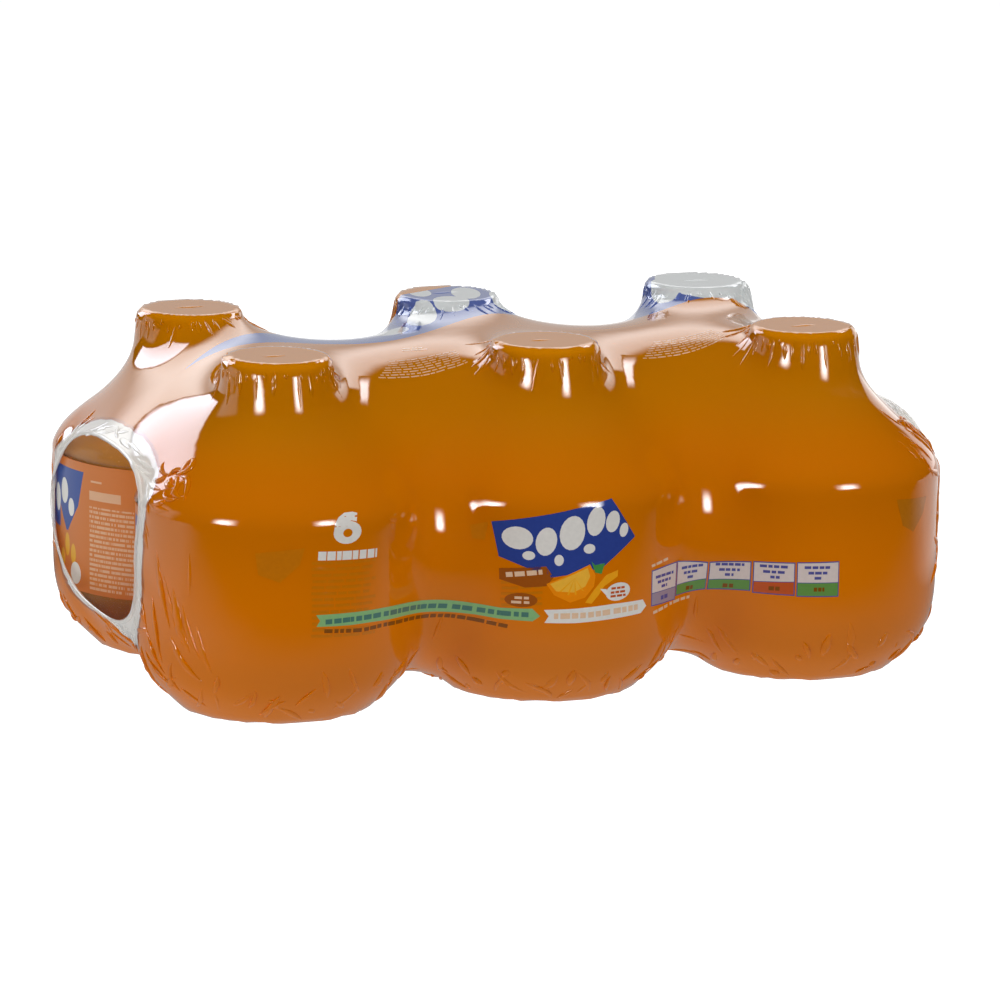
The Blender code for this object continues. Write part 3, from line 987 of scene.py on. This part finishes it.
def filmMaterial():
    # Polyethylene shrink film, blown, printed orange on its inner side and stretched: mirror gloss over a
    # deep flat colour. Its ends are left clear and go milky where they gather round the holes.
    material, tree, shader = newMaterial("printed polyethylene film", 0.035, 1.51)
    place = addNode(tree, "TexCoord", out="Object")
    height = addNode(tree, "SeparateXYZ", [place], "Z")
    rim = addNode(tree, "Attribute", out="Fac", attribute_name="fromRim")
    uneven = addNode(tree, "TexNoise", {"Vector": place, "Scale": 1000 / filmPrint["uneven"], "Detail": 1.0})
    edge = addNode(tree, "Math", [uneven, 2.2, rim], operation="MULTIPLY_ADD")
    for ease in ((height, 0.050, 0.066, 0.0, 2.6), (height, 0.012, 0.028, 4.4, 0.0)):     # wider high and low
        wider = addNode(tree, "MapRange", ease, **softly)
        edge = addNode(tree, "Math", [edge, wider], operation="SUBTRACT")
    # painted shade and light by height: the film darkens up the shoulders and neck and lightens over the cap
    # tops
    shadingBands = [(addNode(tree, "MapRange", [height, low * mm, high * mm], **softly), colour)
             for low, high, colour in filmPrint["shadingBands"]]
    body = topField(tree, place, coated(tree, linear(filmPrint["foot"]), *shadingBands))
    beyond = addNode(tree, "MapRange", [edge, 4.8, 6.0], **softly)
    inked = addNode(tree, "MapRange", [edge, 4.3, 4.8], **softly)
    body = coated(tree, linear(filmPrint["inkEdge"]), (beyond, body))
    body = coated(tree, linear(filmPrint["clear"]), (inked, body))
    tree.links.new(body, shader.inputs["Base Color"])
    facing = addNode(tree, "LayerWeight", [0.5], "Facing")
    cover = addNode(tree, "MapRange", [facing, 0.2, 0.9, 0.86, 1.0], **softly)
    clear = addNode(tree, "MapRange", [facing, 0.0, 0.9, 0.36, 0.95], **softly)
    alpha = addNode(tree, "Mix", {0: inked, 2: clear, 3: cover}, data_type="FLOAT")
    tree.links.new(alpha, shader.inputs["Alpha"])
    ripple = addNode(tree, "TexNoise", {"Vector": place, "Scale": 1000 / filmPrint["ripple"], "Detail": 2.0})
    crinkle = addNode(tree, "Bump", {"Strength": 0.15, "Distance": 0.4 * mm, "Height": ripple})
    tree.links.new(crinkle, shader.inputs["Normal"])
    return material


def inkMaterial(name):
    # Flexographic ink on the film's inner side, under the same gloss, slightly uneven from the press
    material, tree, shader = newMaterial(f"{name} printing ink", 0.05, 1.51)
    place = addNode(tree, "TexCoord", out="Object")
    grain = addNode(tree, "TexNoise", {"Vector": place, "Scale": 1000 / prints["grain"], "Detail": 2.0})
    ink = linear(inks[name])
    thick = (*[part * prints["wear"] for part in ink[:3]], 1.0)
    tree.links.new(coated(tree, thick, (grain, ink)), shader.inputs["Base Color"])
    return material


def petMaterial():
    # Blown PET: clear and thin, seen by its gloss at the edges, with the faint waves of blow moulding
    material, tree, shader = newMaterial("blown clear pet", 0.05, 1.57)
    waveSize = 14.3         # millimetres
    facing = addNode(tree, "LayerWeight", [0.35], "Facing")
    tree.links.new(addNode(tree, "MapRange", {0: facing, 3: 0.06, 4: 0.45}), shader.inputs["Alpha"])
    place = addNode(tree, "TexCoord", out="Object")
    waves = addNode(tree, "TexNoise", {"Vector": place, "Scale": 1000 / waveSize, "Detail": 1.0})
    tree.links.new(coated(tree, linear("#868C90"), (waves, "#949A9C")), shader.inputs["Base Color"])
    moulded = addNode(tree, "Bump", {"Strength": 0.2, "Distance": 0.3 * mm, "Height": waves})
    tree.links.new(moulded, shader.inputs["Normal"])
    return material


def drinkMaterial():
    # Orange soft drink: a cloudy liquid with drifting pulp, and painted shade that makes it browner low down,
    # where less light reaches it.
    # Real pulp is finer, and is drawn as coarse as it needs to show.
    material, tree, shader = newMaterial("cloudy orange drink", 0.08, 1.34)
    cloudSize, pulpSize = 22.2, 0.833      # millimetres
    place = addNode(tree, "TexCoord", out="Object")
    height = addNode(tree, "SeparateXYZ", [place], "Z")
    # painted shade: darker brown at the foot, lighter upwards
    rise = addNode(tree, "MapRange", [height, 0.010, 0.060], **softly)
    clouds = addNode(tree, "TexNoise", {"Vector": place, "Scale": 1000 / cloudSize, "Detail": 2.0})
    cloudy = addNode(tree, "Math", [clouds, 0.35], operation="MULTIPLY")
    pulp = addNode(tree, "TexNoise", {"Vector": place, "Scale": 1000 / pulpSize, "Detail": 1.0})
    pulpy = addNode(tree, "MapRange", [pulp, 0.66, 0.72, 0.0, 0.5], **softly)
    look = coated(tree, linear("#B87808"), (rise, "#C67E12"), (cloudy, "#E09420"), (pulpy, "#EEB048"))
    tree.links.new(look, shader.inputs["Base Color"])
    return material


# places on the label are a share of its design's width, which repeats twice round, and of its height
labelPrint = {
    "ground": "#DC7C26",
    "fieldInk": "#2A4FA0",
    "field": ((-0.0525, 0.685), (0.0975, 0.245)),
    "slant": -0.08,
    "tip": (0.045, 4.5, 0.42),         # where the field's point is, how steep it is and how high
    "paleInk": "#F0C8A0",
    "lines": ((0.205, 0.355), (0.065, 0.325)),
    "bars": [((0.1875, 0.765), (0.0475, 0.035)), ((0.1625, 0.8725), (0.0175, 0.0075))],
    "rows": 27,
    # ink, middle and half sizes of the white bubbles, the yellow drops and the white oval at the foot
    "ovals": [
        ("#F4F2EC", (0.030, 0.74), (0.020, 0.10)), ("#F4F2EC", (0.066, 0.63), (0.014, 0.07)),
        ("#F4F2EC", (-0.02, 0.66), (0.022, 0.11)), ("#F4F2EC", (-0.06, 0.77), (0.015, 0.075)),
        ("#F2B41E", (0.045, 0.33), (0.012, 0.09)), ("#F2B41E", (0.075, 0.27), (0.011, 0.08)),
        ("#F2B41E", (0.02, 0.22), (0.012, 0.07)), ("#F4F2EC", (0.085, 0.13), (0.022, 0.085)),
    ],
}


# The block of small pale lines, broken up unevenly, with a bar and a rule above it
def labelLines(tree, place, u, v):
    rows = addNode(tree, "Math", [v, labelPrint["rows"]], operation="MULTIPLY")
    row = addNode(tree, "Math", [rows], operation="FLOOR")
    spot = addNode(tree, "CombineXYZ", [addNode(tree, "Math", [u, 260.0], operation="MULTIPLY"),
                                        addNode(tree, "Math", [row, 7.3], operation="MULTIPLY")])
    broken = addNode(tree, "TexNoise", {"Vector": spot, "Scale": 1.0, "Detail": 1.0})
    within = addNode(tree, "Math", [rows], operation="FRACT")
    lines = printedMark(tree, place, *labelPrint["lines"], boxed=True)
    for less, more in ((within, 0.55), (0.42, broken)):
        part = addNode(tree, "Math", [less, more], operation="LESS_THAN")
        lines = addNode(tree, "Math", [lines, part], operation="MULTIPLY")
    for middle, reach in labelPrint["bars"]:
        bar = printedMark(tree, place, middle, reach, boxed=True)
        lines = addNode(tree, "Math", [lines, bar], operation="MAXIMUM")
    return addNode(tree, "Math", [lines, 0.75], operation="MULTIPLY")


def labelMaterial():
    # Polypropylene wrap label, gravure printed: satin orange, a slanted blue field with white bubbles, a
    # block of small pale lines, yellow drops and a white oval
    material, tree, shader = newMaterial("printed polypropylene label", 0.28)
    unrolled = addNode(tree, "TexCoord", out="UV")
    turns = addNode(tree, "Math", [addNode(tree, "SeparateXYZ", [unrolled], "X"), 2.0], operation="MULTIPLY")
    u = addNode(tree, "Math", [turns, 0.5, -0.5], operation="WRAP")
    v = addNode(tree, "SeparateXYZ", [unrolled], "Y")
    place = addNode(tree, "CombineXYZ", [u, v])
    slanted = addNode(tree, "Math", [v, labelPrint["slant"], u], operation="MULTIPLY_ADD")
    field = printedMark(tree, addNode(tree, "CombineXYZ", [slanted, v]), *labelPrint["field"], boxed=True)
    side, steep, tip = labelPrint["tip"]
    away = addNode(tree, "Math", [u, side], operation="SUBTRACT")
    away = addNode(tree, "Math", [away], operation="ABSOLUTE")
    slope = addNode(tree, "Math", [away, steep, tip], operation="MULTIPLY_ADD")
    pointed = addNode(tree, "Math", [v, slope], operation="GREATER_THAN")
    pointed = addNode(tree, "Math", [pointed, addNode(tree, "Math", [u, 0.0], operation="LESS_THAN")],
                      operation="MAXIMUM")
    field = addNode(tree, "Math", [field, pointed], operation="MULTIPLY")
    marks = [(field, labelPrint["fieldInk"])]
    marks += [(printedMark(tree, place, middle, reach), ink) for ink, middle, reach in labelPrint["ovals"]]
    marks.append((labelLines(tree, place, u, v), labelPrint["paleInk"]))
    tree.links.new(coated(tree, linear(labelPrint["ground"]), *marks), shader.inputs["Base Color"])
    return material


def capMaterial():
    # Moulded polyethylene cap: waxy satin, slightly blotched, with a fine moulded grain
    material, tree, shader = newMaterial("moulded polyethylene cap", 0.4)
    blotchSize, grainSize = 6.25, 0.4      # millimetres
    place = addNode(tree, "TexCoord", out="Object")
    blotch = addNode(tree, "TexNoise", {"Vector": place, "Scale": 1000 / blotchSize, "Detail": 3.0})
    tree.links.new(coated(tree, linear("#D8720C"), (blotch, "#E88418")), shader.inputs["Base Color"])
    grain = addNode(tree, "TexNoise", {"Vector": place, "Scale": 1000 / grainSize, "Detail": 1.0})
    moulded = addNode(tree, "Bump", {"Strength": 0.25, "Distance": 0.05 * mm, "Height": grain})
    tree.links.new(moulded, shader.inputs["Normal"])
    satin = addNode(tree, "MapRange", [blotch, 0.3, 0.7, 0.34, 0.44], **softly)
    tree.links.new(satin, shader.inputs["Roughness"])
    return material


# The pieces

def makeBottles():
    pet, juice, wrap, closure = petMaterial(), drinkMaterial(), labelMaterial(), capMaterial()
    shell = turnPiece("shell", bodyOutline() + list(reversed(innerOutline())))
    parts = [
        ("bottle", shell, pet),
        ("drink", turnPiece("juice", drinkOutline()), juice),
        ("label", makeLabel(), wrap),
        ("cap", makeCap(), closure),
    ]
    for where, place in places.items():
        for kind, piece, material in parts:
            made = standAt(piece, f"{kind}Piece_{where}", place, material)
            finished(made, kind, f"{kind}_{where}")
    for _, piece, _ in parts:
        bpy.data.objects.remove(piece)


makeBottles()
print("stage 2: bottles, drinks, labels and caps")

filmPiece = makeFilm()
rimLoops = rimPoints(filmPiece)
foldPiece = makeFolds(filmPiece, rimLoops)
bareSkin = BVHTree.FromObject(filmPiece, bpy.context.evaluated_depsgraph_get())
inkLooks = {name: inkMaterial(name) for name in inks}
printPieces = [makePrint("frontPrint", frontPrint(), bareSkin, False, inkLooks),
               makePrint("topPrint", topPrint(), bareSkin, True, inkLooks)]
applyModifier(filmPiece, "SOLIDIFY", thickness=film["thickness"] * mm, offset=-1.0)
filmPiece.data.shade_smooth()
filmLook = filmMaterial()
for piece in (filmPiece, foldPiece):
    markRim(piece, rimLoops)
    piece.data.materials.append(filmLook)
    piece.visible_shadow = False      # the drinks and labels behind it stay lit, as they glow through it
finished(filmPiece, "film", "film")
for piece in (foldPiece, *printPieces):
    finished(piece, "film")
print("stage 3: film", len(filmPiece.data.polygons), "faces, folds", len(foldPiece.data.polygons), "faces")


# The stage: a white floor for the camera, and for the film a table, glowing cards and lamps

stage = {
    "floorGlow": 0.95,
    "floorColour": "#A8A8A8",
    "tableGlow": 0.34,
    "tableBehind": 0.85,
    "tableBeside": 0.95,
    "bounce": 0.7,          # how much the table lights the pack from below
    "middle": Vector((0, 0, 0.05)),
}
# What the film mirrors. azimuth and elevation are seen from the pack, azimuth from the camera's line to its
# right. glow runs from the card's foot to its top over the span of rise, soft is for its sides, top and foot.
plainCard = {"distance": 2.2, "rise": (-0.5, 0.5), "leftGlow": 1.0, "tint": "#FFFFFF"}
softbox = {"elevation": 18, "distance": 1.6, "size": (0.66, 0.56), "glow": (42, 20), "rise": (-0.3, 0.4),
           "soft": (1.0, 0.95, 0.6)}
cards = {
    "backdrop": {"azimuth": -6, "elevation": 19, "distance": 2.4, "size": (2.5, 1.75), "glow": (0.64, 2.2),
                 "rise": (-0.17, 0.07), "soft": (0.1, 0.4, 0.01), "leftGlow": 1.5},
    "rearLeft": {"azimuth": -44, "elevation": 24, "size": (0.8, 1.25), "glow": (7.5, 7.5),
                 "soft": (0.15, 0.15, 0.15), "tint": "#EAF0FF"},
    "rearRight": {"azimuth": 25, "elevation": 34, "size": (0.8, 0.32), "glow": (7.0, 7.0),
                  "soft": (0.6, 0.5, 0.5), "tint": "#F8F8FF"},
    "lowRight": {"azimuth": 30, "elevation": 6, "distance": 2.3, "size": (1.3, 1.0), "glow": (2.4, 1.2),
                 "soft": (0.3, 0.3, 0.01)},
    "farLeft": {"azimuth": -80, "elevation": 12, "distance": 2.3, "size": (1.6, 1.0), "glow": (1.2, 1.2),
                "soft": (0.4, 0.4, 0.01)},
    "boxLeft": {"azimuth": -140, **softbox},
    "boxRight": {"azimuth": 140, **softbox},
}
lamps = {
    "side": {"azimuth": -110, "elevation": 10, "distance": 1.8, "size": (1.4, 0.8), "power": 7},
    "fill": {"azimuth": 180, "elevation": 10, "distance": 2.2, "size": (4.0, 0.8), "power": 6},
    "overhead": {"azimuth": 145, "elevation": 70, "distance": 1.8, "size": (1.6, 1.6), "power": 25},
}


# A plane of the stage that reflects nothing and glows as its shader is told
def stagePlane(name, size, place, turn=(0, 0, 0), colour="#000000"):
    deselect()
    bpy.ops.mesh.primitive_plane_add(size=1, location=place, rotation=turn)
    made = bpy.context.object
    made.name = name
    made.scale = (size[0], size[1], 1)
    material, tree, shader = newMaterial(name, 1.0)
    shader.inputs["Base Color"].default_value = linear(colour)
    shader.inputs["Specular IOR Level"].default_value = 0.0
    shader.inputs["Emission Color"].default_value = linear("#FFFFFF")
    made.data.materials.append(material)
    return made, tree, shader


# A glowing card that only mirrors see, bright in its middle and soft towards its edges
def makeCard(name, look):
    away = towards(look["azimuth"], look["elevation"])
    made, tree, shader = stagePlane(name, look["size"], stage["middle"] + away * look["distance"],
                                    away.to_track_quat("-Z", "Y").to_euler())
    place = addNode(tree, "TexCoord", out="Object")
    x, y = [addNode(tree, "SeparateXYZ", [place], axis) for axis in "XY"]
    reach = addNode(tree, "Math", [x], operation="ABSOLUTE")
    sides, top, foot = [0.5 * soft for soft in look["soft"]]
    glow = addNode(tree, "MapRange", [y, *look["rise"], *look["glow"]], **softly)
    for fade in ((x, -0.25, 0.0, look["leftGlow"], 1.0), (reach, 0.5 - sides, 0.5, 1.0, 0.0),
                 (y, 0.5 - top, 0.5, 1.0, 0.0), (y, -0.5, foot - 0.5, 0.0, 1.0)):
        share = addNode(tree, "MapRange", fade, **softly)
        glow = addNode(tree, "Math", [glow, share], operation="MULTIPLY")
    tree.links.new(glow, shader.inputs["Emission Strength"])
    shader.inputs["Emission Color"].default_value = linear(look["tint"])
    made.visible_camera = made.visible_diffuse = made.visible_shadow = made.visible_transmission = False


def makeLamp(name, look):
    away = towards(look["azimuth"], look["elevation"])
    lamp = bpy.data.lights.new(name, "AREA")
    lamp.shape = "RECTANGLE"
    lamp.size, lamp.size_y = look["size"]
    lamp.energy = look["power"]
    made = bpy.data.objects.new(name, lamp)
    bpy.context.scene.collection.objects.link(made)
    made.location = stage["middle"] + away * look["distance"]
    made.rotation_euler = away.to_track_quat("Z", "Y").to_euler()
    made.visible_camera = False
    made.visible_glossy = False


# The part of the table that the film mirrors: bright round the pack, behind and beside it, dark in front
def makeTable():
    made, tree, shader = stagePlane("table", (4.0, 4.0), (0, 0.6, -0.0004))
    bpy.ops.object.transform_apply(location=True, rotation=False, scale=True)
    place = addNode(tree, "TexCoord", out="Object")
    x, y = [addNode(tree, "SeparateXYZ", [place], axis) for axis in "XY"]
    oval = addNode(tree, "VectorMath", [place, (0.45, 1.0, 0.0)], operation="MULTIPLY")
    reach = addNode(tree, "VectorMath", [oval], "Value", operation="LENGTH")
    beside = stage["tableBeside"]
    near, left, behind, right, further, level = [addNode(tree, "MapRange", ease, **softly) for ease in (
        (reach, 0.09, 0.20, stage["tableGlow"], 0.0), (x, -0.10, -0.22, 1.0, 2.2),
        (y, 0.05, 0.35, 0.0, stage["tableBehind"]), (x, 0.15, 0.24, 0.0, beside),
        (x, -0.24, -0.15, beside, 0.0), (y, -0.12, 0.0, 0.0, 1.0))]
    front = addNode(tree, "Math", [near, left], operation="MULTIPLY")
    sides = addNode(tree, "Math", [right, further], operation="ADD")
    sides = addNode(tree, "Math", [sides, level], operation="MULTIPLY")
    glow = addNode(tree, "Math", [behind, sides], operation="MAXIMUM")
    glow = addNode(tree, "Math", [front, glow], operation="MAXIMUM")
    tree.links.new(glow, shader.inputs["Emission Strength"])
    made.visible_camera = made.visible_diffuse = made.visible_shadow = False
    bounce, _, shader = stagePlane("bounce", (2.4, 2.4), (0, 0, -0.0003))
    shader.inputs["Emission Strength"].default_value = stage["bounce"]
    bounce.visible_camera = bounce.visible_glossy = False
    bounce.visible_shadow = bounce.visible_transmission = False


def makeStage():
    scene = bpy.context.scene
    scene.view_settings.view_transform = "Standard"
    floor, _, shader = stagePlane("floor", (12, 12), (0, 0, -0.0006), colour=stage["floorColour"])
    shader.inputs["Emission Strength"].default_value = stage["floorGlow"]
    floor.visible_glossy = floor.visible_diffuse = False
    makeTable()
    for name, look in cards.items():
        makeCard(name, {**plainCard, **look})
    for name, look in lamps.items():
        makeLamp(name, look)
    world = bpy.data.worlds.new("studio")
    scene.world = world
    world.use_nodes = True
    tree = world.node_tree
    seen = addNode(tree, "LightPath", out="Is Camera Ray")
    shade = coated(tree, linear("#101010"), (seen, "#FFFFFF"))
    tree.links.new(shade, tree.nodes["Background"].inputs["Color"])


makeStage()
print("stage 4: stage and lights")
